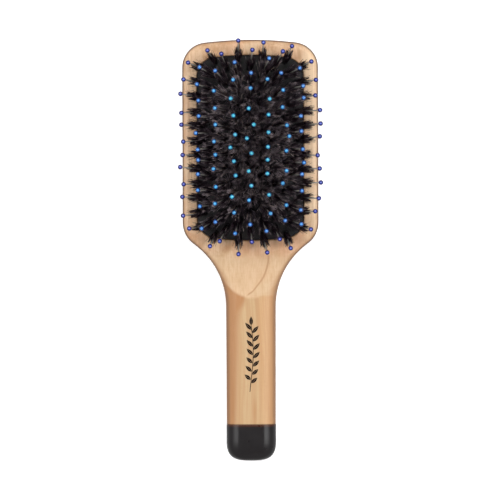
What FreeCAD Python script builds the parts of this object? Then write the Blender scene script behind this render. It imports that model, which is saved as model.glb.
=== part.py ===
"""Cushioned vanity hairbrush: wooden paddle with a bristle-and-pin cushion.

Frame, in millimetres. The brush lies on its flat back, which is z = 0, with the
bristles pointing to +Z and the head towards +Y. The origin is on the back face,
straight under the centre of the cushion.
"""

import math
import os
import random

import FreeCAD
import Part

# Whole brush
LENGTH = 235.0
HEAD_TOP_Y = 60.35
HEAD_HALF_WIDTH = 37.9
HEAD_THICKNESS = 13.0
HEAD_CROWN_RADIUS = 210.0
HEAD_CORNER_RADIUS = 14.0
HEAD_EDGE_ROUND = 3.5

# Shoulder, neck and handle
SHOULDER_RADIUS = 14.4
NECK_RADIUS = 43.0
NECK_SLOPE_DEG = 51.9
NECK_END_Y = -88.55
HANDLE_HALF_WIDTH = 13.87
HANDLE_END_HALF_WIDTH = 13.65
HANDLE_THICKNESS = 15.8
HANDLE_LIFT = 0.2
HANDLE_EDGE_ROUND = 7.4
HANDLE_SWELL_START_Y = -55.2
NECK_SECTIONS = 36

# End cap, a hollow moulded shell over a wooden spigot
CAP_LENGTH = 20.1
CAP_HALF_WIDTH = 13.8
CAP_BOTTOM = 0.05
CAP_TOP = 16.2
CAP_EDGE_ROUND = 7.6
CAP_ROUND_LENGTH = 12.5
CAP_ROUND_POWER = 3.2
CAP_WALL = 2.2
SPIGOT_LENGTH = 15.0
SPIGOT_CLEARANCE = 0.1
SPIGOT_END_GAP = 0.5

# Cushion: a thin rubber dome held by a bead in an undercut groove
CUSHION_HALF_WIDTH = 29.5
CUSHION_HALF_LENGTH = 51.5
CUSHION_CORNER_RADIUS = 10.5
CUSHION_CROWN_RADIUS = 150.0
CUSHION_RISE = 10.5
CUSHION_THICKNESS = 1.7
CUSHION_SKIRT_WALL = 1.2
CUSHION_INNER_DROP = 0.8
DOME_POWER = 2.7
SKIRT_BOTTOM = 9.0
BEAD_LOW = 9.2
BEAD_HIGH = 10.8
BEAD_WIDTH = 1.8
POCKET_FLOOR = 6.5
POCKET_CLEARANCE = 0.15
POCKET_EDGE_ROUND = 0.8
GROOVE_LOW = 9.0
GROOVE_HIGH = 11.0
GROOVE_WIDTH = 2.0

# Bristle field: staggered columns, each site holding one tuft and one pin
COLUMN_PITCH = 6.5
HALF_ROW_PITCH = 4.0
OUTER_COLUMN = 4
LAST_ROW = 12
SIDE_FAN_SLOPE = 0.72
SIDE_FAN_POWER = 6.4
END_FAN_SLOPE = 0.68
END_FAN_POWER = 2.4
LEAN_SPREAD_DEG = 2.4
LEAN_LIMIT_DEG = 5.0
LEAN_SEED = 11
RING_NAMES = ("edge", "outer", "middle", "inner", "core")

# Pin, ball tip, tuft and anchor, measured along the site's own axis
PIN_RADIUS = 0.38
PIN_LENGTH = 22.0
PIN_SHOULDER = -3.45
PIN_HEAD_RADIUS = 0.9
PIN_HEAD_HEIGHT = 0.5
BALL_RADIUS = 1.32
BALL_SOCKET_RADIUS = 0.40
TUFT_BORE_RADIUS = 0.45
TUFT_ROOT = -1.5
TUFT_ROOT_RADIUS = 1.1
TUFT_FLARE_START = 0.4
TUFT_SHOULDER = 15.0
TUFT_LENGTH = 17.5
TUFT_RADIUS = 2.2
TUFT_TIP_RADIUS = 1.5
HOLE_RADIUS = 1.25
ANCHOR_RADIUS = 1.35
ANCHOR_TOP = -2.6
ANCHOR_BOTTOM = -3.4

END_Y = HEAD_TOP_Y - LENGTH
CAP_Y = END_Y + CAP_LENGTH
UP = FreeCAD.Vector(0, 0, 1)


def vec(x, y, z=0.0):
    return FreeCAD.Vector(x, y, z)


def smooth(value, start, end):
    """Ease from 0 at start to 1 at end."""
    t = min(max((value - start) / (end - start), 0.0), 1.0)
    return t * t * (3.0 - 2.0 * t)


# ---------------------------------------------------------------- outlines


def crown_geometry(half_width, end_y, corner_radius, crown_radius):
    """Height of a corner's centre, and the point where the corner meets the crown."""
    centre_x = half_width - corner_radius
    crown_y = end_y - crown_radius
    reach = crown_radius - corner_radius
    corner_y = crown_y + math.sqrt(reach ** 2 - centre_x ** 2)
    scale = crown_radius / reach
    return corner_y, centre_x * scale, crown_y + (corner_y - crown_y) * scale


def crowned_end(half_width, end_y, corner_radius, crown_radius):
    """Edges of one end of an outline, from its right side to its left side."""
    corner_y, meet_x, meet_y = crown_geometry(
        half_width, end_y, corner_radius, crown_radius
    )
    centre_x = half_width - corner_radius
    angle = math.atan2(meet_y - corner_y, meet_x - centre_x) / 2.0
    mid_x = centre_x + corner_radius * math.cos(angle)
    mid_y = corner_y + corner_radius * math.sin(angle)
    right = Part.Arc(vec(half_width, corner_y), vec(mid_x, mid_y), vec(meet_x, meet_y))
    crown = Part.Arc(vec(meet_x, meet_y), vec(0, end_y), vec(-meet_x, meet_y))
    left = Part.Arc(vec(-meet_x, meet_y), vec(-mid_x, mid_y), vec(-half_width, corner_y))
    return [right.toShape(), crown.toShape(), left.toShape()], corner_y


def cushion_prism(grow, low, high):
    """The cushion's outline, grown by a distance and extruded between two heights."""
    half_width = CUSHION_HALF_WIDTH + grow
    half_length = CUSHION_HALF_LENGTH + grow
    end, corner_y = crowned_end(
        half_width,
        half_length,
        CUSHION_CORNER_RADIUS + grow,
        CUSHION_CROWN_RADIUS + grow,
    )
    turn = FreeCAD.Placement(vec(0, 0), FreeCAD.Rotation(UP, 180))
    other = [edge.copy() for edge in end]
    for edge in other:
        edge.Placement = turn
    sides = [
        Part.makeLine(vec(-half_width, corner_y), vec(-half_width, -corner_y)),
        Part.makeLine(vec(half_width, -corner_y), vec(half_width, corner_y)),
    ]
    wire = Part.Wire(end + [sides[0]] + other + [sides[1]])
    prism = Part.Face(wire).extrude(vec(0, 0, high - low))
    prism.translate(vec(0, 0, low))
    return prism


# ------------------------------------------------------------ wooden paddle


def neck_points():
    """Key heights of the shoulder and neck outline, all on the right-hand side."""
    slope = math.radians(NECK_SLOPE_DEG)
    low_x = HANDLE_HALF_WIDTH + NECK_RADIUS * (1.0 - math.cos(slope))
    low_y = NECK_END_Y + NECK_RADIUS * math.sin(slope)
    high_x = HEAD_HALF_WIDTH - SHOULDER_RADIUS * (1.0 - math.cos(slope))
    high_y = low_y + (high_x - low_x) / math.tan(slope)
    shoulder_y = high_y + SHOULDER_RADIUS * math.sin(slope)
    return low_x, low_y, high_y, shoulder_y


def outline_at(y):
    """Half-width of the paddle below the shoulder, and the outline's slope there."""
    low_x, low_y, high_y, shoulder_y = neck_points()
    slope = math.radians(NECK_SLOPE_DEG)
    if y >= shoulder_y:
        return HEAD_HALF_WIDTH, 0.0
    if y >= high_y:
        angle = math.asin((shoulder_y - y) / SHOULDER_RADIUS)
        return HEAD_HALF_WIDTH - SHOULDER_RADIUS * (1.0 - math.cos(angle)), angle
    if y >= low_y:
        return low_x + (y - low_y) * math.tan(slope), slope
    if y >= NECK_END_Y:
        angle = math.asin((y - NECK_END_Y) / NECK_RADIUS)
        return HANDLE_HALF_WIDTH + NECK_RADIUS * (1.0 - math.cos(angle)), angle
    along = (NECK_END_Y - y) / (NECK_END_Y - CAP_Y)
    taper = HANDLE_HALF_WIDTH - HANDLE_END_HALF_WIDTH
    return HANDLE_HALF_WIDTH - taper * along, 0.0


def corner_curve(start, corner, end):
    """A quarter of an ellipse, tangent to both sides of its corner."""
    curve = Part.BezierCurve()
    curve.setPoles([start, corner, end])
    curve.setWeight(2, math.sqrt(0.5))
    return curve.toShape()


def section(y, half_width, low, high, round_x, round_z):
    """A rounded rectangle standing across the brush at y."""
    edges = []
    corners = [
        (half_width, high, 1, 1),
        (-half_width, high, -1, 1),
        (-half_width, low, -1, -1),
        (half_width, low, 1, -1),
    ]
    ends = []
    for index, (x, z, side_x, side_z) in enumerate(corners):
        on_side = vec(x, y, z - side_z * round_z)
        on_flat = vec(x - side_x * round_x, y, z)
        first, last = (on_side, on_flat) if index % 2 == 0 else (on_flat, on_side)
        ends.append((first, vec(x, y, z), last))
    for index, (first, corner, last) in enumerate(ends):
        edges.append(corner_curve(first, corner, last))
        edges.append(Part.makeLine(last, ends[(index + 1) % 4][0]))
    return Part.Wire(edges)


def paddle_section(y):
    half_width, slope = outline_at(y)
    blend = smooth(y, HANDLE_SWELL_START_Y, NECK_END_Y)
    low = HANDLE_LIFT * blend
    thickness = HEAD_THICKNESS + (HANDLE_THICKNESS - HEAD_THICKNESS) * blend
    rounding = HEAD_EDGE_ROUND + (HANDLE_EDGE_ROUND - HEAD_EDGE_ROUND) * blend
    return section(
        y, half_width, low, low + thickness, rounding / math.cos(slope), rounding
    )


def neck_stations():
    """Evenly spaced heights for the lofted sections of the shoulder and neck."""
    shoulder_y = neck_points()[3]
    step = (shoulder_y - NECK_END_Y) / NECK_SECTIONS
    return [shoulder_y - step * index for index in range(NECK_SECTIONS + 1)]


def edges_at(shape, height, keep):
    """Edges lying flat at one height whose middles pass a test."""
    found = []
    for edge in shape.Edges:
        box = edge.BoundBox
        flat = abs(box.ZMin - height) < 1e-4 and abs(box.ZMax - height) < 1e-4
        if flat and keep(box.Center):
            found.append(edge)
    return found


def head_plate():
    shoulder_y = neck_points()[3]
    edges, corner_y = crowned_end(
        HEAD_HALF_WIDTH, HEAD_TOP_Y, HEAD_CORNER_RADIUS, HEAD_CROWN_RADIUS
    )
    edges += [
        Part.makeLine(vec(-HEAD_HALF_WIDTH, corner_y), vec(-HEAD_HALF_WIDTH, shoulder_y)),
        Part.makeLine(vec(-HEAD_HALF_WIDTH, shoulder_y), vec(HEAD_HALF_WIDTH, shoulder_y)),
        Part.makeLine(vec(HEAD_HALF_WIDTH, shoulder_y), vec(HEAD_HALF_WIDTH, corner_y)),
    ]
    plate = Part.Face(Part.Wire(edges)).extrude(vec(0, 0, HEAD_THICKNESS))
    rim = []
    for height in (0.0, HEAD_THICKNESS):
        rim += edges_at(plate, height, lambda middle: middle.y > shoulder_y + 1.0)
    return plate.makeFillet(HEAD_EDGE_ROUND, rim)


def spigot():
    return section(
        CAP_Y,
        CAP_HALF_WIDTH - CAP_WALL - SPIGOT_CLEARANCE,
        CAP_WALL + SPIGOT_CLEARANCE,
        CAP_TOP - CAP_WALL - SPIGOT_CLEARANCE,
        CAP_EDGE_ROUND - CAP_WALL,
        CAP_EDGE_ROUND - CAP_WALL,
    )


def paddle_body():
    neck = Part.makeLoft([paddle_section(y) for y in neck_stations()], True)
    handle = Part.makeLoft([paddle_section(NECK_END_Y), paddle_section(CAP_Y)], True, True)
    plug = Part.Face(spigot()).extrude(vec(0, -SPIGOT_LENGTH, 0))
    body = head_plate().fuse([neck, handle, plug]).removeSplitter()
    pocket = cushion_prism(POCKET_CLEARANCE, POCKET_FLOOR, HEAD_THICKNESS + 5.0)
    groove = cushion_prism(GROOVE_WIDTH, GROOVE_LOW, GROOVE_HIGH)
    body = body.cut([pocket, groove])
    mouth = edges_at(body, HEAD_THICKNESS, in_cushion)
    return body.makeFillet(POCKET_EDGE_ROUND, mouth)


def in_cushion(point):
    inside_x = abs(point.x) < CUSHION_HALF_WIDTH + 1.0
    return inside_x and abs(point.y) < CUSHION_HALF_LENGTH + 1.0


def end_cap():
    round_start = END_Y + CAP_ROUND_LENGTH
    wires = []
    for along in (0.0, 0.35, 0.7, 0.85):
        y = CAP_Y + (round_start - CAP_Y) * along
        wires.append(cap_section(y, 1.0))
    for step in range(13):
        angle = math.radians(88.0 * step / 12.0)
        drop = CAP_ROUND_LENGTH * math.sin(angle) ** (2.0 / CAP_ROUND_POWER)
        shrink = math.cos(angle) ** (2.0 / CAP_ROUND_POWER)
        wires.append(cap_section(round_start - drop, shrink))
    shell = Part.makeLoft(wires, True)
    hollow = section(
        CAP_Y,
        CAP_HALF_WIDTH - CAP_WALL,
        CAP_WALL,
        CAP_TOP - CAP_WALL,
        CAP_EDGE_ROUND - CAP_WALL,
        CAP_EDGE_ROUND - CAP_WALL,
    )
    depth = SPIGOT_LENGTH + SPIGOT_END_GAP
    return shell.cut(Part.Face(hollow).extrude(vec(0, -depth, 0)))


def cap_section(y, scale):
    middle = (CAP_TOP + CAP_BOTTOM) / 2.0
    half_height = (CAP_TOP - CAP_BOTTOM) / 2.0 * scale
    rounding = CAP_EDGE_ROUND * scale
    return section(
        y,
        CAP_HALF_WIDTH * scale,
        middle - half_height,
        middle + half_height,
        rounding,
        rounding,
    )


# ------------------------------------------------------------ rubber cushion


def dome_fraction(x, y, half_width, half_length):
    """Height of the dome at a point, as a fraction of its crown."""
    across = 1.0 - (x / half_width) ** 2
    along = 1.0 - (abs(y) / half_length) ** DOME_POWER
    return across * along


def dome_block(half_width, half_length, base, rise):
    """Everything under a dome, down past the floor of the pocket."""
    columns = 16
    rows = 28
    grid = []
    for column in range(columns + 1):
        x = half_width * (2.0 * column / columns - 1.0)
        line = []
        for row in range(rows + 1):
            y = half_length * (2.0 * row / rows - 1.0)
            height = base + rise * dome_fraction(x, y, half_width, half_length)
            line.append(vec(x, y, height))
        grid.append(line)
    surface = Part.BSplineSurface()
    surface.interpolate(grid)
    return surface.toShape().extrude(vec(0, 0, -30.0))


def cushion_membrane(sites):
    top = HEAD_THICKNESS + CUSHION_RISE
    outer = dome_block(CUSHION_HALF_WIDTH, CUSHION_HALF_LENGTH, HEAD_THICKNESS, CUSHION_RISE)
    outer = outer.common(cushion_prism(0.0, SKIRT_BOTTOM, top + 5.0))
    base = HEAD_THICKNESS - CUSHION_INNER_DROP
    inner = dome_block(
        CUSHION_HALF_WIDTH - CUSHION_SKIRT_WALL,
        CUSHION_HALF_LENGTH - CUSHION_SKIRT_WALL,
        base,
        top - CUSHION_THICKNESS - base,
    )
    inner = inner.common(cushion_prism(-CUSHION_SKIRT_WALL, 0.0, top + 5.0))
    bead = cushion_prism(BEAD_WIDTH, BEAD_LOW, BEAD_HIGH)
    skin = outer.fuse(bead).cut(inner)
    drills = []
    for site in sites:
        drill = Part.makeCylinder(HOLE_RADIUS, 8.0, vec(0, 0, -4.5))
        drill.Placement = site["placement"]
        drills.append(drill)
    return skin.cut(drills)


# ------------------------------------------------------------- bristle field


def site_direction(x, y):
    """Where a site points: close to the dome's normal, but fanned out to its very ends."""
    across = x / CUSHION_HALF_WIDTH
    along = y / CUSHION_HALF_LENGTH
    slope_x = SIDE_FAN_SLOPE * across * (1.0 - abs(along) ** SIDE_FAN_POWER)
    slope_y = END_FAN_SLOPE * math.copysign(abs(along) ** END_FAN_POWER, along)
    slope_y *= 1.0 - across ** 2
    return vec(slope_x, slope_y, 1.0).normalize()


def small_lean(random_source):
    """One hand-set site's lean about an axis, in degrees."""
    lean = random_source.gauss(0.0, LEAN_SPREAD_DEG)
    return min(max(lean, -LEAN_LIMIT_DEG), LEAN_LIMIT_DEG)


def bristle_sites():
    """Every site on the cushion with its ring and its placement."""
    random_source = random.Random(LEAN_SEED)
    sites = []
    for column in range(-OUTER_COLUMN, OUTER_COLUMN + 1):
        first = -LAST_ROW if column % 2 else 1 - LAST_ROW
        for row in range(first, LAST_ROW + 1, 2):
            x = column * COLUMN_PITCH
            y = row * HALF_ROW_PITCH
            rise = CUSHION_RISE * dome_fraction(x, y, CUSHION_HALF_WIDTH, CUSHION_HALF_LENGTH)
            base = vec(x, y, HEAD_THICKNESS + rise)
            lean_x = FreeCAD.Rotation(vec(1, 0), small_lean(random_source))
            lean_y = FreeCAD.Rotation(vec(0, 1), small_lean(random_source))
            turn = lean_x.multiply(lean_y).multiply(FreeCAD.Rotation(UP, site_direction(x, y)))
            ring = min(OUTER_COLUMN - abs(column), (LAST_ROW - abs(row)) // 2)
            sites.append({"ring": ring, "placement": FreeCAD.Placement(base, turn)})
    return sites


def turned(points):
    """A solid of revolution about Z from straight-sided (radius, height) points."""
    corners = [vec(radius, 0, height) for radius, height in points]
    face = Part.Face(Part.makePolygon(corners + corners[:1]))
    return face.revolve(vec(0, 0), UP, 360)


def pin():
    head = PIN_SHOULDER - PIN_HEAD_HEIGHT
    return turned(
        [
            (0.0, head),
            (PIN_HEAD_RADIUS, head),
            (PIN_HEAD_RADIUS, PIN_SHOULDER),
            (PIN_RADIUS, PIN_SHOULDER),
            (PIN_RADIUS, PIN_LENGTH),
            (0.0, PIN_LENGTH),
        ]
    )


def ball_tip():
    mouth = -math.sqrt(BALL_RADIUS ** 2 - BALL_SOCKET_RADIUS ** 2)
    start = vec(BALL_SOCKET_RADIUS, 0, mouth)
    top = vec(0, 0, BALL_RADIUS)
    edges = [
        Part.Arc(start, vec(BALL_RADIUS, 0, 0), top).toShape(),
        Part.makeLine(top, vec(0, 0, 0)),
        Part.makeLine(vec(0, 0, 0), vec(BALL_SOCKET_RADIUS, 0, 0)),
        Part.makeLine(vec(BALL_SOCKET_RADIUS, 0, 0), start),
    ]
    ball = Part.Face(Part.Wire(edges)).revolve(vec(0, 0), UP, 360)
    ball.translate(vec(0, 0, PIN_LENGTH))
    return ball


def tuft():
    return turned(
        [
            (TUFT_BORE_RADIUS, TUFT_ROOT),
            (TUFT_ROOT_RADIUS, TUFT_ROOT),
            (TUFT_ROOT_RADIUS, TUFT_FLARE_START),
            (TUFT_RADIUS, TUFT_SHOULDER),
            (TUFT_TIP_RADIUS, TUFT_LENGTH),
            (TUFT_BORE_RADIUS, TUFT_LENGTH),
        ]
    )


def anchor():
    return turned(
        [
            (TUFT_BORE_RADIUS, ANCHOR_BOTTOM),
            (ANCHOR_RADIUS, ANCHOR_BOTTOM),
            (ANCHOR_RADIUS, ANCHOR_TOP),
            (TUFT_BORE_RADIUS, ANCHOR_TOP),
        ]
    )


def placed(solid, sites):
    copies = []
    for site in sites:
        copy = solid.copy()
        copy.Placement = site["placement"].multiply(solid.Placement)
        copies.append(copy)
    return Part.makeCompound(copies)


# -------------------------------------------------------------------- output


def main():
    os.makedirs("parts", exist_ok=True)
    sites = bristle_sites()
    nodes = {
        "paddle_body": paddle_body(),
        "end_cap": end_cap(),
        "cushion_membrane": cushion_membrane(sites),
    }
    pieces = {"tufts": tuft(), "pins": pin(), "ball_tips": ball_tip(), "anchors": anchor()}
    for ring, ring_name in enumerate(RING_NAMES):
        ring_sites = [site for site in sites if site["ring"] == ring]
        for piece_name, solid in pieces.items():
            nodes[piece_name + "_" + ring_name] = placed(solid, ring_sites)
    for name, shape in nodes.items():
        shape.exportStep("parts/" + name + ".step")
        box = shape.BoundBox
        print(
            "%-18s solids %3d valid %s volume %9.1f z %6.2f to %6.2f"
            % (name, len(shape.Solids), shape.isValid(), shape.Volume, box.ZMin, box.ZMax)
        )


main()
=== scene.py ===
"""Looks for the cushioned vanity hairbrush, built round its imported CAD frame.

Everything is in metres in the CAD frame: the brush lies on its back at z = 0, bristles
towards +Z, head towards +Y, and the origin is under the centre of the cushion.
"""

import math
from collections import namedtuple
from types import SimpleNamespace

import bmesh
import bpy
import numpy as np
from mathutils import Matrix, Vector, noise


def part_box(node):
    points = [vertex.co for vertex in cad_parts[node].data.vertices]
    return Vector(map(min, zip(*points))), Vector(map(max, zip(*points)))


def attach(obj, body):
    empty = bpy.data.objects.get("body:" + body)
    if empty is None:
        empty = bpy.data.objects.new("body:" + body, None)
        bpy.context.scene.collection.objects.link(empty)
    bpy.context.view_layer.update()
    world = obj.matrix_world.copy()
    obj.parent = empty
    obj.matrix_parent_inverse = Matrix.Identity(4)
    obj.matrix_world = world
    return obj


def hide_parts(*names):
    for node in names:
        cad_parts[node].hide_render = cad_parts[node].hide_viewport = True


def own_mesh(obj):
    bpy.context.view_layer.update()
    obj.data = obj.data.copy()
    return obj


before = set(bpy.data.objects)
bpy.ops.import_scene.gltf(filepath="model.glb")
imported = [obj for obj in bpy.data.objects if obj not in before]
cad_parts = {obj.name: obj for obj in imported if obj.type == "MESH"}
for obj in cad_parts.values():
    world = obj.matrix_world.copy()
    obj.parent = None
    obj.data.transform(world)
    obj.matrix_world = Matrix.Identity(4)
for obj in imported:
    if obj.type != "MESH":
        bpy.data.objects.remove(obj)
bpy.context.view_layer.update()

MM = 0.001
RINGS = ("edge", "outer", "middle", "inner", "core")

# Read from the CAD nodes
HEAD_TOP_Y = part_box("paddle_body")[1].y
CAP_JOINT_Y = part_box("end_cap")[1].y
BRUSH_END_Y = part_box("end_cap")[0].y

# The paddle, with the same numbers as its CAD design
RIM_Z = 13.0 * MM
HANDLE_TOP_Z = 16.0 * MM
NECK_END_Y = -88.5 * MM

# The cushion: its outline and dome as in the CAD design, then its skin, rim and collars
CUSHION_HALF_WIDTH = 29.5 * MM
CUSHION_HALF_LENGTH = 51.5 * MM
CUSHION_CORNER_RADIUS = 10.5 * MM
CUSHION_CROWN_RADIUS = 150.0 * MM
CUSHION_RISE = 10.5 * MM
DOME_POWER = 2.7
EDGE_GAP = 0.02 * MM
EDGE_ARC_STEPS = 12
SKIN_AROUND = 300
SKIN_ROWS = 46
SKIN_ROW_POWER = 1.25
SKIN_CENTRE_SHARE = 0.02
RIM_ROLL_DROP = 0.55 * MM
RIM_ROLL_SHARE = 0.030
SKIN_WAVE_SCALE = 160.0
SKIN_WAVE_HEIGHT = 0.10 * MM
SKIRT_DROPS = (1.0 * MM, 2.2 * MM)
COLLAR_SIDES = 18
COLLAR_PROFILE = (  # radius, height above the skin
    (1.30 * MM, -0.60 * MM),
    (1.30 * MM, 0.22 * MM),
    (1.52 * MM, 0.36 * MM),
    (1.85 * MM, 0.26 * MM),
    (2.25 * MM, -0.30 * MM),
)

# Pins and tufts, along each site's own axis. Tones run from 0 (darkest) to 1 (palest); pale hairs
# are partly painted glints
PIN_LENGTH = 22.0 * MM
Tuft = namedtuple("Tuft", "length splay gather hairs pale_share tone_reach")
TUFTS = {
    "edge": Tuft(13.2 * MM, 2.7 * MM, 0.62, 160, 0.05, 0.45),
    "outer": Tuft(15.6 * MM, 4.3 * MM, 0.50, 200, 0.13, 0.68),
    "middle": Tuft(16.2 * MM, 4.9 * MM, 0.42, 240, 0.30, 1.0),
    "inner": Tuft(16.4 * MM, 5.1 * MM, 0.40, 240, 0.34, 1.0),
    "core": Tuft(16.4 * MM, 5.1 * MM, 0.40, 240, 0.34, 1.0),
}
ROOT_RADIUS = 1.12 * MM
ROOT_DEPTH = 1.0 * MM
ROOT_SCATTER = 0.10 * MM
INWARD_STRETCH = 0.55
STRAY_SHARE = 0.16
STRAY_SPLAY = 1.40
SPIKE_COUNTS = (7, 12)
SPIKE_REACH = 0.92
SPIKE_GROWTH = 0.055
OFF_SPIKE_LOSS = 0.10
TIP_SCATTER = 0.18 * MM
GATHER_START = 0.45
HAIR_GROWTH = 0.025
HAIR_BOW = 0.16 * MM
HAIR_STEPS = 4
HAIR_SIDES = 3
HAIR_POINTS = (HAIR_STEPS + 1) * HAIR_SIDES
HAIR_RADIUS = (0.100 * MM, 0.150 * MM)
HAIR_TAPER = 0.42
PALE_SPIKE = 0.70
PALE_ODDS = (0.65, 1.8)
PALE_TONES = (0.86, 1.0)
TUFT_SEED = 7

# The printed sprig
SPRIG_TOP = Vector((0.1 * MM, -99.0 * MM, 0.0))
SPRIG_LENGTH = 37.0 * MM
SPRIG_SWAY = 1.1 * MM
STEM_STEPS = 32
STEM_HALF_WIDTH = 0.20 * MM
LEAF_PAIRS = 7
LEAF_SPACING = 4
LEAF_LENGTH = 5.4 * MM
LEAF_SHRINK = 0.15 * MM
LEAF_WIDTH = 2.0 * MM
LEAF_STEPS = 9
LEAF_POINT = 0.04 * MM
RIB_HALF_WIDTH = 0.03 * MM
INK_HALF_THICKNESS = 0.03 * MM

# Floor, backdrop, sky, lights and camera: metres, watts and degrees
FLOOR_LEVEL = -0.4 * MM
FLOOR_SIZE = 9.0
FLOOR_GLOW_REACH = (0.5, 2.2)
BACKDROP_RADIUS = 8.0
# sky stops: height from straight down (0) to straight up (1), and grey there
WORLD_STOPS = ((0.0, 0.60), (0.30, 0.60), (0.5, 0.36), (0.80, 0.42), (0.93, 0.20), (1.0, 0.10))
# light and camera places are from the middle of the brush
Light = namedtuple("Light", "name place width length power glossy")
LIGHTS = (
    Light("soft_left", (-0.95, 0.10, 1.25), 0.3, 1.1, 10.5, True),
    Light("soft_right", (0.95, 0.15, 1.30), 0.6, 1.1, 14.0, True),
    Light("soft_head", (0.0, 1.10, 1.55), 1.1, 0.6, 8.5, True),
    Light("foot_fill", (0.0, -0.90, 1.70), 0.9, 0.6, 5.0, False),
)
CAMERA_LENS = 257.5
CAMERA_HEIGHT = 2.0065
CAMERA_SHIFT = (-0.4 * MM, 0.1 * MM)
CAMERA_ROLL = -0.2


# ------------------------------------------------------------------ nodes


class Nodes:
    """A short way to build a node tree."""

    def __init__(self, name, world=False):
        if world:
            self.owner = bpy.data.worlds.new(name)
        else:
            self.owner = bpy.data.materials.new(name)
        self.owner.use_nodes = True
        self.tree = self.owner.node_tree
        self.tree.nodes.clear()

    def add(self, kind, inputs=None, **settings):
        node = self.tree.nodes.new(kind)
        for key, value in settings.items():
            setattr(node, key, value)
        for key, value in (inputs or {}).items():
            self.put(node, key, value)
        return node

    def put(self, node, key, value):
        socket = node.inputs[key]
        if isinstance(value, bpy.types.NodeSocket):
            self.tree.links.new(value, socket)
        elif isinstance(value, bpy.types.Node):
            self.tree.links.new(value.outputs[0], socket)
        else:
            socket.default_value = value

    def math(self, operation, first, second=0.0):
        return self.add("ShaderNodeMath", {0: first, 1: second}, operation=operation).outputs[0]

    def times(self, first, second):
        return self.math("MULTIPLY", first, second)

    def plus(self, first, second):
        return self.math("ADD", first, second)

    def minus(self, first, second):
        return self.math("SUBTRACT", first, second)

    def mix(self, factor, first, second, blend="MIX"):
        node = self.add("ShaderNodeMix", data_type="RGBA", blend_type=blend)
        self.put(node, 0, factor)
        self.put(node, 6, first)
        self.put(node, 7, second)
        return node.outputs[2]

    def paint(self, base, top, mask, strength):
        """One colour laid over another through a mask."""
        return self.mix(self.times(mask, strength), base, top)

    def ramp(self, value, *stops):
        node = self.add("ShaderNodeValToRGB", {0: value})
        elements = node.color_ramp.elements
        while len(elements) < len(stops):
            elements.new(0.5)
        for element, (place, colour) in zip(elements, stops):
            element.position = place
            element.color = tone(colour)
        return node.outputs[0]

    def noise(self, vector, scale, detail, roughness=0.5):
        inputs = {"Vector": vector, "Scale": scale, "Detail": detail, "Roughness": roughness}
        return self.add("ShaderNodeTexNoise", inputs).outputs[0]

    def stretched(self, vector, scale):
        return self.add("ShaderNodeMapping", {"Vector": vector, "Scale": scale}).outputs[0]

    def smooth(self, value, start, end):
        node = self.add(
            "ShaderNodeMapRange",
            {"Value": value, "From Min": start, "From Max": end},
            interpolation_type="SMOOTHSTEP",
        )
        return node.outputs[0]

    def bump(self, height, distance, strength):
        inputs = {"Height": height, "Distance": distance, "Strength": strength}
        return self.add("ShaderNodeBump", inputs).outputs[0]

    def surface(self, **inputs):
        names = {key.replace("_", " "): value for key, value in inputs.items()}
        shader = self.add("ShaderNodeBsdfPrincipled", names)
        self.add("ShaderNodeOutputMaterial", {"Surface": shader})
        return self.owner


def tone(colour):
    """A colour or a grey as four numbers."""
    if isinstance(colour, (int, float)):
        return (colour, colour, colour, 1.0)
    return (*colour, 1.0) if len(colour) == 3 else colour


def srgb(red, green, blue):
    """A linear colour from 0-255 screen values."""
    linear = []
    for value in (red, green, blue):
        share = value / 255.0
        if share <= 0.04045:
            linear.append(share / 12.92)
        else:
            linear.append(((share + 0.055) / 1.055) ** 2.4)
    return (*linear, 1.0)


# -------------------------------------------------------------- materials

HEAD_SIDE_PAINTED_LIGHT = srgb(244, 214, 178)
HEAD_PALE = srgb(224, 191, 156)
HEAD_DEEP = srgb(200, 157, 118)
HEAD_RUDDY = srgb(214, 158, 122)
NECK_CREAM = srgb(208, 179, 142)
HANDLE_PALE = srgb(197, 168, 128)
HANDLE_TAN = srgb(184, 144, 101)
RIGHT_TAN = srgb(203, 152, 104)
STRIPE_BROWN = srgb(172, 120, 74)
SPOT_BROWN = srgb(190, 128, 84)
LINE_BROWN = srgb(172, 124, 82)
GRAIN_BROWN = srgb(186, 138, 98)
FLECK_BROWN = srgb(150, 102, 68)
# Painted shade on rounded edges: tan where they begin to turn, brown where they face sideways
EDGE_SHADE_TAN = srgb(196, 146, 104)
EDGE_SHADE_BROWN = srgb(104, 70, 50)
GLUE_BROWN = srgb(72, 40, 26)
RUDDY_SPOTS = (
    ((-14.3 * MM, -55.6 * MM, 0.0), (4.6 * MM, 2.8 * MM), 0.28),
    ((14.2 * MM, -54.8 * MM, 0.0), (4.4 * MM, 2.8 * MM), 0.28),
    ((-29.0 * MM, -50.0 * MM, 0.0), (5.0 * MM, 7.0 * MM), 0.34),
    ((-35.0 * MM, 28.0 * MM, 0.0), (1.6 * MM, 8.0 * MM), 0.25),
    ((35.5 * MM, -18.0 * MM, 0.0), (1.6 * MM, 9.0 * MM), 0.25),
)
# Bead colours per ring: dark sides, middle, pale crown, and where the ramp starts; painted shade
# and painted highlight by how far the surface faces up
BALL_SHADE_TO_LIGHT_TONES = {
    "edge": (srgb(24, 28, 98), srgb(42, 48, 134), srgb(106, 116, 205), 0.60),
    "outer": (srgb(6, 28, 82), srgb(24, 78, 154), srgb(82, 150, 220), 0.45),
    "middle": (srgb(5, 32, 78), srgb(22, 94, 160), srgb(78, 172, 220), 0.42),
    "inner": (srgb(4, 38, 76), srgb(24, 110, 160), srgb(76, 188, 208), 0.38),
    "core": (srgb(4, 40, 76), srgb(26, 116, 162), srgb(76, 192, 206), 0.38),
}
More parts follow.
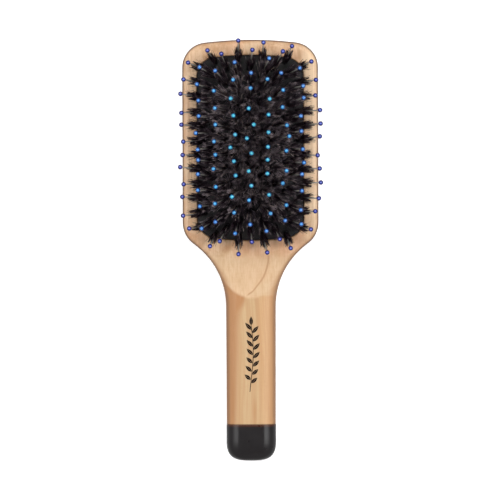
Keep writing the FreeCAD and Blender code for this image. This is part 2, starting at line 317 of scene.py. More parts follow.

# The wood's markings, with painted light and painted shade. Pairs of places are where a soft edge
# starts and ends
PAINTED_LIGHT_SIDE_X = (25.0 * MM, 33.0 * MM)
PAINTED_LIGHT_SIDE_END_Y = (-50.0 * MM, -34.0 * MM)
NECK_CALM_Y = (-56.0 * MM, -64.0 * MM)
NECK_ARC_CURVE = 42.0
NECK_ARC_Y = (NECK_END_Y + 6.6 * MM, NECK_END_Y + 4.4 * MM)
NECK_ARC_TOP_Y = (-62.0 * MM, -72.0 * MM)
STRIPE_X = (-3.6 * MM, -8.0 * MM)
STRIPE_SLANT = -0.052
STRIPE_SLANT_Y = -90.5 * MM
STRIPE_HOOK = -3.0 * MM
STRIPE_HOOK_Y = (-93.0 * MM, -82.0 * MM)
TAN_SIDE_X = (3.0 * MM, 9.5 * MM)
LOW_STREAK_PLACE = (2.0 * MM, -147.0 * MM, 0.0)
LOW_STREAK_SIZE = (1.6 * MM, 11.0 * MM)
NECK_LINE_CENTRE = (-17.2 * MM, -60.0 * MM, 0.0)
NECK_LINE_RADIUS = 27.4 * MM
NECK_LINE_SOFTNESS = (0.15 * MM, 0.80 * MM)
NECK_LINE_LOW_Y = (-83.5 * MM, -81.5 * MM)
NECK_LINE_HIGH_Y = (-58.0 * MM, -63.0 * MM)
NECK_LINE_LEFT_X = (-3.0 * MM, -1.0 * MM)
PALE_CORNER_Y = (-70.0 * MM, -77.0 * MM)
# Where the painted edge shade goes from its head strength to its handle strength
HEAD_EDGE_Y = (-74.0 * MM, -50.0 * MM)


def spot(n, place, ripple, centre, size):
    """A soft-edged oval patch on the wood, with an uneven outline."""
    offset = n.add("ShaderNodeVectorMath", {0: place, 1: centre}, operation="SUBTRACT")
    scale = (1.0 / size[0], 1.0 / size[1], 0.0)
    scaled = n.add("ShaderNodeVectorMath", {0: offset.outputs[0], 1: scale}, operation="MULTIPLY")
    reach = n.add("ShaderNodeVectorMath", {0: scaled.outputs[0]}, operation="LENGTH")
    uneven = n.plus(reach.outputs["Value"], n.times(ripple, 0.9))
    return n.smooth(uneven, 1.60, 0.60)


def wood_fields(n):
    """Places on the wood and its noise patterns, mostly drawn out along the brush."""
    place = n.add("ShaderNodeTexCoord").outputs["Object"]
    parts = n.add("ShaderNodeSeparateXYZ", {0: place})
    drift = n.noise(n.stretched(place, (1, 0.35, 1)), 22.0, 2.0)
    bend = n.add("ShaderNodeCombineXYZ", {0: n.times(drift, 0.022)})
    warped = n.add("ShaderNodeVectorMath", {0: place, 1: bend.outputs[0]}).outputs[0]
    return SimpleNamespace(
        place=place,
        x=parts.outputs[0],
        y=parts.outputs[1],
        fine=n.noise(n.stretched(warped, (1, 0.022, 1)), 1500.0, 5.0, 0.62),
        streak=n.noise(n.stretched(warped, (1, 0.030, 1)), 330.0, 3.0, 0.55),
        broad=n.noise(n.stretched(warped, (1, 0.16, 0.6)), 75.0, 2.0, 0.5),
        mottle=n.noise(n.stretched(place, (1, 0.7, 1)), 170.0, 4.0, 0.65),
        fleck=n.noise(n.stretched(warped, (1, 0.11, 1)), 2600.0, 2.0, 0.5),
        ray=n.noise(n.stretched(place, (0.12, 1, 0.5)), 1300.0, 3.0, 0.6),
    )


def head_colour(n, wood):
    """Peach-coloured and mottled, with painted light making its sides paler, calm and cream
    towards the neck.
    """
    colour = n.mix(n.smooth(wood.mottle, 0.40, 0.62), HEAD_PALE, HEAD_DEEP)
    colour = n.paint(colour, HEAD_RUDDY, n.smooth(wood.broad, 0.46, 0.68), 0.55)
    # Painted light: the head's sides made paler to lift the shade the tufts cast there, most on
    # the right
    start, end = PAINTED_LIGHT_SIDE_X
    right = n.times(n.smooth(wood.x, start, end), 0.90)
    left = n.times(n.smooth(wood.x, -start, -end), 0.40)
    sides = n.times(n.plus(right, left), n.smooth(wood.y, *PAINTED_LIGHT_SIDE_END_Y))
    colour = n.mix(sides, colour, HEAD_SIDE_PAINTED_LIGHT)
    colour = n.paint(colour, NECK_CREAM, n.smooth(wood.y, *NECK_CALM_Y), 0.75)
    for centre, size, strength in RUDDY_SPOTS:
        patch = spot(n, wood.place, wood.mottle, centre, size)
        colour = n.paint(colour, SPOT_BROWN, patch, strength)
    return colour


def handle_colour(n, wood):
    """A pale middle between a dark left stripe and a tan right side."""
    colour = n.mix(n.smooth(wood.streak, 0.30, 0.80), HANDLE_PALE, HANDLE_TAN)
    wander = n.times(n.minus(wood.broad, 0.5), 6.0 * MM)
    slant = n.times(n.minus(wood.y, STRIPE_SLANT_Y), STRIPE_SLANT)
    hook = n.times(n.smooth(wood.y, *STRIPE_HOOK_Y), STRIPE_HOOK)
    across = n.plus(n.plus(n.plus(wood.x, wander), slant), hook)
    across = n.plus(across, n.times(n.minus(wood.streak, 0.5), 4.0 * MM))
    colour = n.paint(colour, STRIPE_BROWN, n.smooth(across, *STRIPE_X), 0.92)
    right = n.smooth(n.plus(wood.x, n.times(wander, 1.6)), *TAN_SIDE_X)
    colour = n.paint(colour, RIGHT_TAN, right, 0.55)
    low_streak = spot(n, wood.place, wood.streak, LOW_STREAK_PLACE, LOW_STREAK_SIZE)
    return n.paint(colour, STRIPE_BROWN, low_streak, 0.5)


def below_neck_arc(n, wood):
    """Where the handle's stripes begin, under the arc that ends the neck's cream flat."""
    arc = n.times(n.times(wood.x, wood.x), NECK_ARC_CURVE)
    edge = n.minus(n.plus(wood.y, n.times(wood.streak, 1.6 * MM)), arc)
    return n.times(n.smooth(edge, *NECK_ARC_Y), n.smooth(wood.y, *NECK_ARC_TOP_Y))


def neck_line(n, wood, colour):
    """The late-wood line that sweeps across the neck, with a paler corner beyond it."""
    offset = n.add(
        "ShaderNodeVectorMath", {0: wood.place, 1: NECK_LINE_CENTRE}, operation="SUBTRACT"
    )
    flat = n.add(
        "ShaderNodeVectorMath", {0: offset.outputs[0], 1: (1.0, 1.0, 0.0)}, operation="MULTIPLY"
    )
    reach = n.add("ShaderNodeVectorMath", {0: flat.outputs[0]}, operation="LENGTH")
    reach = n.plus(reach.outputs["Value"], n.times(n.minus(wood.broad, 0.5), 3.0 * MM))
    away = n.math("ABSOLUTE", n.minus(reach, NECK_LINE_RADIUS))
    line = n.minus(1.0, n.smooth(away, *NECK_LINE_SOFTNESS))
    in_neck = n.times(n.smooth(wood.y, *NECK_LINE_LOW_Y), n.smooth(wood.y, *NECK_LINE_HIGH_Y))
    in_neck = n.times(in_neck, n.smooth(wood.x, *NECK_LINE_LEFT_X))
    colour = n.paint(colour, LINE_BROWN, n.times(line, in_neck), 0.70)
    beyond = n.smooth(reach, NECK_LINE_RADIUS, NECK_LINE_RADIUS + 0.6 * MM)
    corner = n.times(n.smooth(wood.y, *PALE_CORNER_Y), in_neck)
    return n.paint(colour, NECK_CREAM, n.times(beyond, corner), 0.7)


def edge_shade_and_glue_line(n, wood, colour):
    """Painted shade on the rounded edges that turn away from the top, strongest on the head, and a
    thin glue line at the cap.
    """
    facing = n.add("ShaderNodeNewGeometry").outputs["Normal"]
    up = n.math("ABSOLUTE", n.add("ShaderNodeSeparateXYZ", {0: facing}).outputs[2])
    on_head = n.smooth(wood.y, *HEAD_EDGE_Y)
    tan_shade_strength = n.plus(0.26, n.times(n.minus(1.0, on_head), 0.40))
    brown_shade_strength = n.plus(0.42, n.times(on_head, 0.50))
    # Painted shade: tan, then brown, the further the surface turns from facing up
    colour = n.paint(colour, EDGE_SHADE_TAN, n.smooth(up, 0.995, 0.62), tan_shade_strength)
    colour = n.paint(colour, EDGE_SHADE_BROWN, n.smooth(up, 0.78, 0.46), brown_shade_strength)
    joint = n.smooth(wood.y, CAP_JOINT_Y + 0.8 * MM, CAP_JOINT_Y + 0.3 * MM)
    return n.paint(colour, GLUE_BROWN, joint, 0.85)


def wood_material():
    """Satin-lacquered pale hardwood with fine grain along the brush."""
    n = Nodes("pale_wood")
    wood = wood_fields(n)
    colour = n.mix(below_neck_arc(n, wood), head_colour(n, wood), handle_colour(n, wood))
    colour = neck_line(n, wood, colour)
    colour = n.paint(colour, GRAIN_BROWN, n.smooth(wood.fine, 0.40, 0.74), 0.48)
    colour = n.paint(colour, GRAIN_BROWN, n.smooth(wood.ray, 0.46, 0.76), 0.14)
    colour = n.paint(colour, FLECK_BROWN, n.smooth(wood.fleck, 0.64, 0.80), 0.32)
    colour = edge_shade_and_glue_line(n, wood, colour)
    height = n.plus(n.times(wood.fine, 0.7), n.times(wood.fleck, 0.5))
    return n.surface(
        Base_Color=colour,
        Roughness=n.plus(0.42, n.times(wood.streak, 0.16)),
        Specular_IOR_Level=0.36,
        Coat_Weight=0.08,
        Coat_Roughness=0.3,
        Normal=n.bump(height, 0.06 * MM, 0.5),
    )


def cap_material():
    """Black moulded plastic, glossy with a faint orange-peel surface."""
    n = Nodes("black_cap")
    place = n.add("ShaderNodeTexCoord").outputs["Object"]
    y = n.add("ShaderNodeSeparateXYZ", {0: place}).outputs[1]
    peel = n.noise(place, 900.0, 3.0, 0.55)
    haze = n.noise(place, 160.0, 3.0, 0.6)
    scuff = n.noise(n.stretched(place, (1, 0.15, 1)), 2400.0, 2.0)
    colour = n.mix(haze, (0.0100, 0.0085, 0.0092, 1), (0.0150, 0.0128, 0.0136, 1))
    glue = n.smooth(y, CAP_JOINT_Y - 1.3 * MM, CAP_JOINT_Y - 0.6 * MM)
    colour = n.mix(glue, colour, srgb(64, 34, 24))
    rough = n.plus(0.24, n.times(haze, 0.10))
    rough = n.plus(rough, n.times(n.smooth(scuff, 0.64, 0.80), 0.12))
    return n.surface(
        Base_Color=colour,
        Roughness=rough,
        Specular_IOR_Level=0.40,
        Normal=n.bump(peel, 0.03 * MM, 0.35),
    )


def rubber_material():
    """Matte black rubber with a fine pebble and a little dust."""
    n = Nodes("cushion_rubber")
    place = n.add("ShaderNodeTexCoord").outputs["Object"]
    pebble = n.noise(place, 3200.0, 3.0, 0.6)
    dust = n.noise(place, 240.0, 4.0, 0.65)
    colour = n.mix(n.smooth(dust, 0.40, 0.75), (0.007, 0.007, 0.007, 1), (0.020, 0.018, 0.019, 1))
    rough = n.plus(0.55, n.times(dust, 0.25))
    return n.surface(
        Base_Color=colour,
        Roughness=rough,
        Specular_IOR_Level=0.35,
        Normal=n.bump(pebble, 0.05 * MM, 0.5),
    )


def hair_material():
    """Natural bristle: near-black brown, with single hairs that are grey or tan, partly the
    bristles' own colour and partly painted glints.
    """
    n = Nodes("bristle_hair")
    place = n.add("ShaderNodeTexCoord").outputs["Object"]
    shade = n.add("ShaderNodeAttribute", attribute_name="hair_tone").outputs["Fac"]
    along = n.add("ShaderNodeAttribute", attribute_name="hair_along").outputs["Fac"]
    grime = n.noise(place, 1800.0, 3.0, 0.6)
    colour = n.ramp(
        shade,
        (0.0, (0.0090, 0.0055, 0.0100)),
        (0.20, (0.0300, 0.0130, 0.0190)),
        (0.40, (0.0180, 0.0150, 0.0240)),
        (0.60, (0.0800, 0.0520, 0.0640)),
        (0.80, (0.0520, 0.0520, 0.0480)),
        (0.88, (0.2200, 0.1600, 0.1650)),
        (0.94, (0.3400, 0.3200, 0.3600)),
        (1.0, (0.8000, 0.6400, 0.5400)),
    )
    # Paler tips: partly the bristles' own split tips, partly painted glints where light catches
    # them
    pale_tip_and_glint = n.times(n.smooth(along, 0.74, 1.0), n.smooth(shade, 0.30, 0.84))
    colour = n.paint(colour, (0.420, 0.340, 0.370, 1), pale_tip_and_glint, 0.70)
    colour = n.paint(colour, (0.006, 0.006, 0.007, 1), grime, 0.35)
    rough = n.plus(0.34, n.times(grime, 0.22))
    return n.surface(
        Base_Color=colour,
        Roughness=rough,
        Specular_IOR_Level=0.32,
        Normal=n.bump(grime, 0.02 * MM, 0.4),
    )


def pin_material():
    """Cloudy natural nylon."""
    n = Nodes("pin_nylon")
    place = n.add("ShaderNodeTexCoord").outputs["Object"]
    cloud = n.noise(place, 1100.0, 3.0, 0.55)
    scratch = n.noise(n.stretched(place, (1, 1, 0.1)), 5200.0, 2.0)
    colour = n.mix(cloud, srgb(206, 204, 198), srgb(176, 174, 168))
    rough = n.plus(0.26, n.times(scratch, 0.20))
    return n.surface(
        Base_Color=colour,
        Roughness=rough,
        IOR=1.53,
        Transmission_Weight=0.72,
        Specular_IOR_Level=0.5,
        Normal=n.bump(scratch, 0.01 * MM, 0.4),
    )


def ball_material(ring):
    """A blue nylon bead: deep blue at its sides and paler on its crown, as painted light from
    above.
    """
    n = Nodes("ball_" + ring)
    dark, middle, light, start = BALL_SHADE_TO_LIGHT_TONES[ring]
    place = n.add("ShaderNodeTexCoord").outputs["Object"]
    facing = n.add("ShaderNodeNewGeometry").outputs["Normal"]
    up = n.add("ShaderNodeSeparateXYZ", {0: facing}).outputs[2]
    swirl = n.noise(place, 700.0, 3.0, 0.5)
    batch = n.noise(place, 90.0, 1.0)
    up = n.plus(up, n.times(n.minus(swirl, 0.5), 0.16))
    # Painted light: the bead is pale where its surface faces up and dark at its sides
    colour = n.ramp(up, (start, dark), (start + 0.30, middle), (0.98, light))
    teal = n.times(n.smooth(batch, 0.52, 0.70), 0.30)
    colour = n.mix(teal, colour, srgb(70, 205, 215), blend="SOFT_LIGHT")
    peel = n.noise(place, 2600.0, 2.0)
    rough = n.plus(0.16, n.times(swirl, 0.12))
    return n.surface(
        Base_Color=colour,
        Roughness=rough,
        IOR=1.5,
        Specular_IOR_Level=0.5,
        Coat_Weight=0.3,
        Coat_Roughness=0.08,
        Normal=n.bump(peel, 0.01 * MM, 0.3),
    )


def anchor_material():
    """Milky nylon of the hidden buttons under the cushion."""
    n = Nodes("anchor_nylon")
    place = n.add("ShaderNodeTexCoord").outputs["Object"]
    cloud = n.noise(place, 900.0, 3.0)
    colour = n.mix(cloud, srgb(226, 222, 210), srgb(200, 194, 180))
    return n.surface(
        Base_Color=colour,
        Roughness=n.plus(0.4, n.times(cloud, 0.2)),
        Normal=n.bump(cloud, 0.02 * MM, 0.4),
    )


def ink_material():
    """Printed dark ink, slightly worn."""
    n = Nodes("sprig_ink")
    place = n.add("ShaderNodeTexCoord").outputs["Object"]
    wear = n.noise(place, 1500.0, 4.0, 0.65)
    colour = n.mix(n.smooth(wear, 0.55, 0.90), srgb(30, 20, 16), srgb(84, 58, 40))
    return n.surface(
        Base_Color=colour,
        Roughness=n.plus(0.55, n.times(wear, 0.2)),
        Specular_IOR_Level=0.12,
        Normal=n.bump(wear, 0.01 * MM, 0.4),
    )


def give(obj, material):
    """Dress an object in one material."""
    obj.data.materials.clear()
    obj.data.materials.append(material)


# ------------------------------------------------------------- mesh pieces


def new_object(name, data):
    """An object in the scene from a mesh, a light or a camera."""
    obj = bpy.data.objects.new(name, data)
    bpy.context.scene.collection.objects.link(obj)
    return obj


def built(name, mesh, smooth=False):
    """An object from a finished bmesh."""
    data = bpy.data.meshes.new(name)
    mesh.to_mesh(data)
    mesh.free()
    if smooth:
        data.shade_smooth()
    return new_object(name, data)


def islands(node):
    """The separate solids of a CAD node, each as an array of points."""
    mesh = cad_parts[node].data
    points = np.array([v.co for v in mesh.vertices], float)
    keys = {}
    weld = [keys.setdefault(tuple(np.round(p, 8)), len(keys)) for p in points]
    parent = list(range(len(keys)))

    def find(item):
        while parent[item] != item:
            parent[item] = parent[parent[item]]
            item = parent[item]
        return item

    for edge in mesh.edges:
        first, second = (find(weld[v]) for v in edge.vertices)
        parent[first] = second
    groups = {}
    for index, key in enumerate(weld):
        groups.setdefault(find(key), []).append(index)
    found = [points[indices] for indices in groups.values()]
    return sorted(found, key=lambda p: tuple(np.round(p.mean(0), 6)))


def sites_of(ring):
    """Each pin's place on the cushion's surface and its direction, read from the CAD pins."""
    sites = []
    for points in islands("pins_" + ring):
        middle = points.mean(0)
        axis = np.linalg.svd(points - middle, full_matrices=False)[2][0]
        axis *= math.copysign(1.0, axis[2])
        along = (points - middle) @ axis
        top = middle + axis * along.max()
        sites.append((Vector(top - axis * PIN_LENGTH), Vector(axis)))
    return sites


def frame_round(axis):
    """Two directions square to an axis."""
    side = axis.cross(Vector((0.0, 1.0, 0.0))).normalized()
    return side, axis.cross(side).normalized()


def tuft_paths(source, tuft, lean):
    """One tuft's hairs about its own axis, as (hair, step, place), their tips drawn into spikes.

    Also says which spike each hair belongs to.
    """
    spikes = int(source.integers(*SPIKE_COUNTS))
    spike_turn = source.uniform(0.0, math.tau, spikes)
    spike_reach = SPIKE_REACH * np.sqrt(source.uniform(0.05, 1.0, spikes))
    spike = spike_reach[:, None] * np.column_stack([np.cos(spike_turn), np.sin(spike_turn)])
    spike_growth = source.normal(0.0, SPIKE_GROWTH, spikes)

    turn = source.uniform(0.0, math.tau, tuft.hairs)
    reach = np.sqrt(source.uniform(0.0, 1.0, tuft.hairs))
    spread = reach[:, None] * np.column_stack([np.cos(turn), np.sin(turn)])
    gap = np.linalg.norm(spread[:, None, :] - spike[None, :, :], axis=2)
    owner, from_spike = gap.argmin(axis=1), gap.min(axis=1)
    stray = source.uniform(size=tuft.hairs) < STRAY_SHARE

    root = spread * ROOT_RADIUS + source.normal(0.0, ROOT_SCATTER, (tuft.hairs, 2))
    opened = spread * tuft.splay * np.where(stray, STRAY_SPLAY, 1.0)[:, None]
    gathered = (spike[owner] - spread) * tuft.splay * np.where(stray, 0.0, tuft.gather)[:, None]
    gathered += source.normal(0.0, TIP_SCATTER, (tuft.hairs, 2))
    outward = opened @ lean
    opened += np.where(outward < 0.0, INWARD_STRETCH * outward, 0.0)[:, None] * lean
    growth = 1.0 + spike_growth[owner] - OFF_SPIKE_LOSS * from_spike
    length = tuft.length * (growth + source.normal(0.0, HAIR_GROWTH, tuft.hairs))
    bow = source.normal(0.0, HAIR_BOW, (tuft.hairs, 2))

    share = np.linspace(0.0, 1.0, HAIR_STEPS + 1)
    opening = share[None, :] ** source.uniform(0.80, 1.20, tuft.hairs)[:, None]
    closing = np.clip((share - GATHER_START) / (1.0 - GATHER_START), 0.0, 1.0) ** 1.5
    flat = root[:, None, :] * (1.0 - opening[..., None]) + opened[:, None, :] * opening[..., None]
    flat = flat + closing[None, :, None] * gathered[:, None, :]
    flat = flat + np.sin(math.pi * share)[None, :, None] * bow[:, None, :]
    height = length[:, None] * share[None, :] - ROOT_DEPTH * (1.0 - share[None, :])
    return np.dstack([flat, height]), owner


def hair_tones(source, tuft, owner):
    """Dark hairs for the most part, with pale ones scattered and in whole spikes: partly the
    bristles' own mixed colour, partly painted glints.
    """
    spike_tone = source.uniform(0.0, 1.0, owner.max() + 1)[owner]
    tones = 0.45 * source.uniform(0.0, 1.0, tuft.hairs) + 0.40 * spike_tone
    # Pale hairs, more in some spikes, stand partly for painted glints
    odds = tuft.pale_share * np.where(spike_tone > PALE_SPIKE, PALE_ODDS[1], PALE_ODDS[0])
    pale = source.uniform(size=tuft.hairs) < odds
    return np.where(pale, source.uniform(*PALE_TONES, tuft.hairs), tones * tuft.tone_reach)


def placed_hairs(source, tuft, base, axis):
    """One tuft's tapered hairs in the CAD frame, as points, and the spike each belongs to."""
    side, across = (np.array(v) for v in frame_round(axis))
    lean = np.array([axis.x * v[0] + axis.y * v[1] for v in (side, across)])
    lean /= max(np.linalg.norm(lean), 1e-6)
    paths, owner = tuft_paths(source, tuft, lean)
    share = np.linspace(0.0, 1.0, HAIR_STEPS + 1)
    thick = source.uniform(*HAIR_RADIUS, tuft.hairs)[:, None] * (1.0 - HAIR_TAPER * share**3)
    corner = math.tau * np.arange(HAIR_SIDES) / HAIR_SIDES
    around_side = paths[:, :, None, 0] + thick[..., None] * np.cos(corner)
    around_across = paths[:, :, None, 1] + thick[..., None] * np.sin(corner)
    height = np.repeat(paths[:, :, None, 2], HAIR_SIDES, axis=2)
    placed = (
        np.array(base)
        + around_side[..., None] * side
        + around_across[..., None] * across
        + height[..., None] * np.array(axis)
    )
    return placed.reshape(-1, 3), owner


def hair_faces(hairs):
    """The closed faces of every hair, walls first and then both caps."""
    one_hair = []
    for low in range(0, HAIR_STEPS * HAIR_SIDES, HAIR_SIDES):
        high = low + HAIR_SIDES
        for index in range(HAIR_SIDES):
            following = (index + 1) % HAIR_SIDES
            one_hair.append((low + index, low + following, high + following, high + index))
    one_hair.append(tuple(range(HAIR_SIDES - 1, -1, -1)))
    one_hair.append(tuple(range(HAIR_STEPS * HAIR_SIDES, HAIR_POINTS)))
    return [
        tuple(first + corner for corner in face)
        for first in range(0, hairs * HAIR_POINTS, HAIR_POINTS)
        for face in one_hair
    ]


def tufts(ring, sites):
    """Every tuft of a ring as separate tapered hairs."""
    tuft = TUFTS[ring]
    source = np.random.default_rng([TUFT_SEED, RINGS.index(ring)])
    points, tones = [], []
    for base, axis in sites:
        placed, owner = placed_hairs(source, tuft, base, axis)
        points.append(placed)
        tones.append(np.repeat(hair_tones(source, tuft, owner), HAIR_POINTS))
    hairs = len(sites) * tuft.hairs
    mesh = bpy.data.meshes.new("hairs_" + ring)
    mesh.from_pydata(np.concatenate(points).tolist(), [], hair_faces(hairs))
    share = np.linspace(0.0, 1.0, HAIR_STEPS + 1)
    along = np.tile(np.repeat(share, HAIR_SIDES), hairs)
    for name, values in (("hair_tone", np.concatenate(tones)), ("hair_along", along)):
        attribute = mesh.attributes.new(name, "FLOAT", "POINT")
        attribute.data.foreach_set("value", values.astype(np.float32))
    mesh.shade_smooth()
    obj = new_object("hairs_" + ring, mesh)
    give(obj, HAIR)
    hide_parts("tufts_" + ring)
    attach(obj, ring + "_bristles")
    return obj


def cushion_edge(grow, count):
    """Points evenly spaced round the cushion's outline, anticlockwise from its right side."""
    half_width = CUSHION_HALF_WIDTH + grow
    half_length = CUSHION_HALF_LENGTH + grow
    corner = CUSHION_CORNER_RADIUS + grow
    crown = CUSHION_CROWN_RADIUS + grow
    centre_x = half_width - corner
    crown_y = half_length - crown
    corner_y = crown_y + math.sqrt((crown - corner) ** 2 - centre_x ** 2)
    meet = math.atan2(corner_y - crown_y, centre_x)
    line = []
    for step in range(EDGE_ARC_STEPS + 1):
        angle = meet * step / EDGE_ARC_STEPS
        line.append((centre_x + corner * math.cos(angle), corner_y + corner * math.sin(angle)))
    for step in range(1, EDGE_ARC_STEPS + 1):
        angle = meet + (math.pi / 2.0 - meet) * step / EDGE_ARC_STEPS
        line.append((crown * math.cos(angle), crown_y + crown * math.sin(angle)))
    quarter = [(half_width, 0.0)] + line
    half = quarter + [(-x, y) for x, y in reversed(quarter[:-1])]
    outline = np.array(half + [(-x, -y) for x, y in half[1:-1]])
    closed = np.vstack([outline, outline[:1]])
    steps = np.linalg.norm(np.diff(closed, axis=0), axis=1)
    run = np.concatenate([[0.0], np.cumsum(steps)])
    wanted = np.linspace(0.0, run[-1], count, endpoint=False)
    return np.column_stack(
        [np.interp(wanted, run, closed[:, 0]), np.interp(wanted, run, closed[:, 1])]
    )


def dome_height(x, y):
    """How far the cushion stands above its rim at a place."""
    across = 1.0 - min(abs(x) / CUSHION_HALF_WIDTH, 1.0) ** 2
    along = 1.0 - min(abs(y) / CUSHION_HALF_LENGTH, 1.0) ** DOME_POWER
    return CUSHION_RISE * across * along


def dome_skin(mesh):
    """The skin from its middle out to a rolled rim, with a skirt down into the pocket."""
    edge = cushion_edge(-EDGE_GAP, SKIN_AROUND)
    steps = range(1, SKIN_ROWS + 1)
    shares = [SKIN_CENTRE_SHARE] + [1.0 - (1.0 - k / SKIN_ROWS) ** SKIN_ROW_POWER for k in steps]
    rings = []
    for share in shares:
        row = []
        for x, y in edge * share:
            rim = RIM_ROLL_DROP * math.exp(-(((1.0 - share) / RIM_ROLL_SHARE) ** 2))
            wave = noise.noise(Vector((x, y, 0.0)) * SKIN_WAVE_SCALE) * SKIN_WAVE_HEIGHT
            row.append(mesh.verts.new((x, y, RIM_Z + dome_height(x, y) - rim + wave)))
        rings.append(row)
    outermost = rings[-1]
    for drop in SKIRT_DROPS:
        rings.append([mesh.verts.new((v.co.x, v.co.y, RIM_Z - drop)) for v in outermost])
    for inner, outer in zip(rings, rings[1:]):
        for index in range(SKIN_AROUND):
            following = (index + 1) % SKIN_AROUND
            mesh.faces.new((inner[index], outer[index], outer[following], inner[following]))
    mesh.faces.new(rings[0])


def collar(mesh, base, axis):
    """A moulded ring of rubber round one tuft."""
    side, across = frame_round(axis)
    loops = []
    for radius, height in COLLAR_PROFILE:
        loop = []
        for step in range(COLLAR_SIDES):
            angle = math.tau * step / COLLAR_SIDES
            point = base + axis * height
            point = point + side * (radius * math.cos(angle))
            point = point + across * (radius * math.sin(angle))
            loop.append(mesh.verts.new(point))
        loops.append(loop)
    for inner, outer in zip(loops, loops[1:] + loops[:1]):
        for step in range(COLLAR_SIDES):
            following = (step + 1) % COLLAR_SIDES
            mesh.faces.new((inner[step], inner[following], outer[following], outer[step]))


def cushion(sites):
    """The rubber dome: a thin skin with a rolled rim and a moulded collar round every tuft."""
    mesh = bmesh.new()
    dome_skin(mesh)
    for base, axis in sites:
        collar(mesh, base, axis)
    bmesh.ops.recalc_face_normals(mesh, faces=mesh.faces)
    obj = built("cushion_dome", mesh, smooth=True)
    give(obj, RUBBER)
    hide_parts("cushion_membrane")
    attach(obj, "paddle")
    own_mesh(obj)
    return obj


def flat_strip(mesh, first_line, second_line):
    """A thin closed ribbon of ink between two lines on the handle's flat top."""
    layers = []
    for height in (HANDLE_TOP_Z - INK_HALF_THICKNESS, HANDLE_TOP_Z + INK_HALF_THICKNESS):
        layers.append(
            [
                [mesh.verts.new((p.x, p.y, height)) for p in line]
                for line in (first_line, second_line)
            ]
        )
    (low_a, low_b), (high_a, high_b) = layers
    for index in range(len(low_a) - 1):
        following = index + 1
        mesh.faces.new((high_a[index], high_a[following], high_b[following], high_b[index]))
        mesh.faces.new((low_a[index], low_b[index], low_b[following], low_a[following]))
        mesh.faces.new((low_a[index], low_a[following], high_a[following], high_a[index]))
        mesh.faces.new((low_b[index], high_b[index], high_b[following], low_b[following]))
    for index in (0, -1):
        mesh.faces.new((low_a[index], high_a[index], high_b[index], low_b[index]))


def leaf(mesh, start, heading, length, width):
    """One pointed leaf lying flat, with a slit for its rib."""
    forward = Vector((math.cos(heading), math.sin(heading), 0.0))
    side = Vector((-forward.y, forward.x, 0.0))
    for sign in (-1.0, 1.0):
        outer, inner = [], []
        for step in range(LEAF_STEPS + 1):
            share = step / LEAF_STEPS
            belly = math.sin(math.pi * share ** 0.85) * width * 0.5
            centre = start + forward * (length * share)
            outer.append(centre + side * (sign * max(belly, LEAF_POINT)))
            inner.append(centre + side * (sign * RIB_HALF_WIDTH))
        flat_strip(mesh, inner, outer)


def sprig():
    """A plain leaf sprig printed on the handle, with no lettering."""
    mesh = bmesh.new()
    stem = []
    for step in range(STEM_STEPS + 1):
        share = step / STEM_STEPS
        sway = math.sin(share * math.pi * 1.25) * SPRIG_SWAY
        stem.append(SPRIG_TOP + Vector((sway, -SPRIG_LENGTH * share, 0.0)))
    half = Vector((STEM_HALF_WIDTH, 0.0, 0.0))
    flat_strip(mesh, [p - half for p in stem], [p + half for p in stem])
    leaf(mesh, stem[0], math.pi / 2.0, 5.0 * MM, 2.1 * MM)
    for index in range(LEAF_PAIRS):
        point = stem[3 + index * LEAF_SPACING]
        size = LEAF_LENGTH - index * LEAF_SHRINK
        for sign in (-1.0, 1.0):
            heading = math.pi / 2.0 - sign * (0.72 + 0.02 * index)
            shift = Vector((sign * 0.18 * MM, -sign * 0.9 * MM, 0.0))
            leaf(mesh, point + shift, heading, size, LEAF_WIDTH)
    bmesh.ops.recalc_face_normals(mesh, faces=mesh.faces)
    obj = built("handle_sprig", mesh)
    give(obj, ink_material())
    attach(obj, "paddle")
    return obj


# ------------------------------------------------------------ scene and light


def floor():
    """A pale matte sheet under the brush, that glows more with distance."""
    mesh = bmesh.new()
    bmesh.ops.create_grid(mesh, x_segments=8, y_segments=8, size=FLOOR_SIZE)
    obj = built("studio_floor", mesh)
    obj.location.z = FLOOR_LEVEL
    obj.visible_diffuse = False
    obj.visible_glossy = False
    n = Nodes("pale_floor")
    place = n.add("ShaderNodeTexCoord").outputs["Object"]
    cloud = n.noise(place, 3.0, 3.0)
    reach = n.add("ShaderNodeVectorMath", {0: place}, operation="LENGTH").outputs["Value"]
    sheet = n.surface(
        Base_Color=n.mix(cloud, tone(0.90), tone(0.93)),
        Roughness=0.9,
        Specular_IOR_Level=0.1,
        Emission_Color=n.mix(n.smooth(reach, *FLOOR_GLOW_REACH), tone(0.45), tone(0.95)),
        Emission_Strength=1.0,
    )
    give(obj, sheet)
    return obj


def backdrop():
    """A large pale ball round everything, that only the camera sees."""
    mesh = bmesh.new()
    bmesh.ops.create_uvsphere(mesh, u_segments=48, v_segments=24, radius=BACKDROP_RADIUS)
    obj = built("studio_backdrop", mesh)
    n = Nodes("pale_backdrop")
    place = n.add("ShaderNodeTexCoord").outputs["Object"]
    cloud = n.noise(place, 0.2, 2.0)
    glow = n.surface(
        Base_Color=tone(0.0),
        Specular_IOR_Level=0.0,
        Emission_Color=n.mix(cloud, tone(0.93), tone(0.97)),
        Emission_Strength=1.0,
    )
    give(obj, glow)
    obj.visible_diffuse = False
    obj.visible_glossy = False
    obj.visible_transmission = False
    obj.visible_shadow = False
    return obj


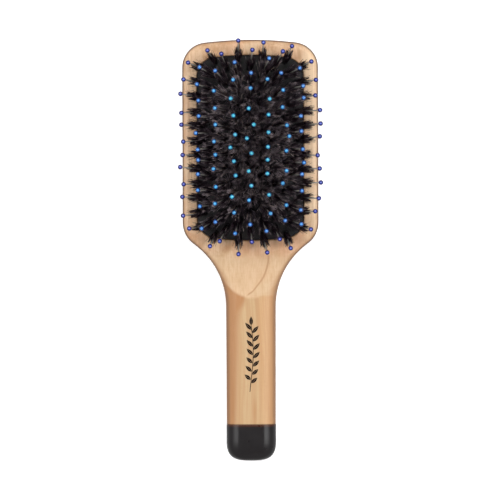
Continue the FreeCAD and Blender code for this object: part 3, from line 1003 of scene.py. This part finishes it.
def area_light(light, middle):
    """A soft rectangular light aimed at the brush's middle."""
    data = bpy.data.lights.new(light.name, "AREA")
    data.shape = "RECTANGLE"
    data.size = light.width
    data.size_y = light.length
    data.energy = light.power
    obj = new_object(light.name, data)
    place = middle + Vector(light.place)
    obj.location = place
    obj.rotation_euler = (middle - place).to_track_quat("-Z", "Y").to_euler()
    obj.visible_glossy = light.glossy


def studio():
    """Floor, backdrop, sky and lights."""
    floor()
    backdrop()
    world = Nodes("studio_world", world=True)
    direction = world.add("ShaderNodeTexCoord").outputs["Generated"]
    height = world.add("ShaderNodeSeparateXYZ", {0: direction}).outputs[2]
    glow = world.ramp(world.plus(world.times(height, 0.5), 0.5), *WORLD_STOPS)
    shine = world.add("ShaderNodeBackground", {"Color": glow, "Strength": 1.0})
    world.add("ShaderNodeOutputWorld", {"Surface": shine})
    bpy.context.scene.world = world.owner
    middle = Vector((0.0, (HEAD_TOP_Y + BRUSH_END_Y) / 2.0, 0.0))
    for light in LIGHTS:
        area_light(light, middle)


def camera():
    """Straight down on the brush from two metres."""
    data = bpy.data.cameras.new("photo_camera")
    data.sensor_width = 36.0
    data.lens = CAMERA_LENS
    data.clip_start = 0.1
    data.clip_end = 60.0
    obj = new_object("photo_camera", data)
    middle_y = (HEAD_TOP_Y + BRUSH_END_Y) / 2.0
    obj.location = (CAMERA_SHIFT[0], middle_y + CAMERA_SHIFT[1], CAMERA_HEIGHT)
    obj.rotation_euler = (0.0, 0.0, math.radians(CAMERA_ROLL))
    bpy.context.scene.camera = obj


# ------------------------------------------------------------------- build

HAIR = hair_material()
RUBBER = rubber_material()
WOOD = wood_material()
CAP = cap_material()
PIN = pin_material()
ANCHOR = anchor_material()
BALLS = {ring_name: ball_material(ring_name) for ring_name in RINGS}

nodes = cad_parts
give(nodes["paddle_body"], WOOD)
give(nodes["end_cap"], CAP)
every_site = []
for ring_name in RINGS:
    ring_sites = sites_of(ring_name)
    every_site += ring_sites
    tufts(ring_name, ring_sites)
    give(nodes["pins_" + ring_name], PIN)
    give(nodes["anchors_" + ring_name], ANCHOR)
    give(nodes["ball_tips_" + ring_name], BALLS[ring_name])
cushion(every_site)
sprig()
studio()
camera()

bpy.context.scene.view_settings.view_transform = "Standard"
bpy.context.view_layer.update()
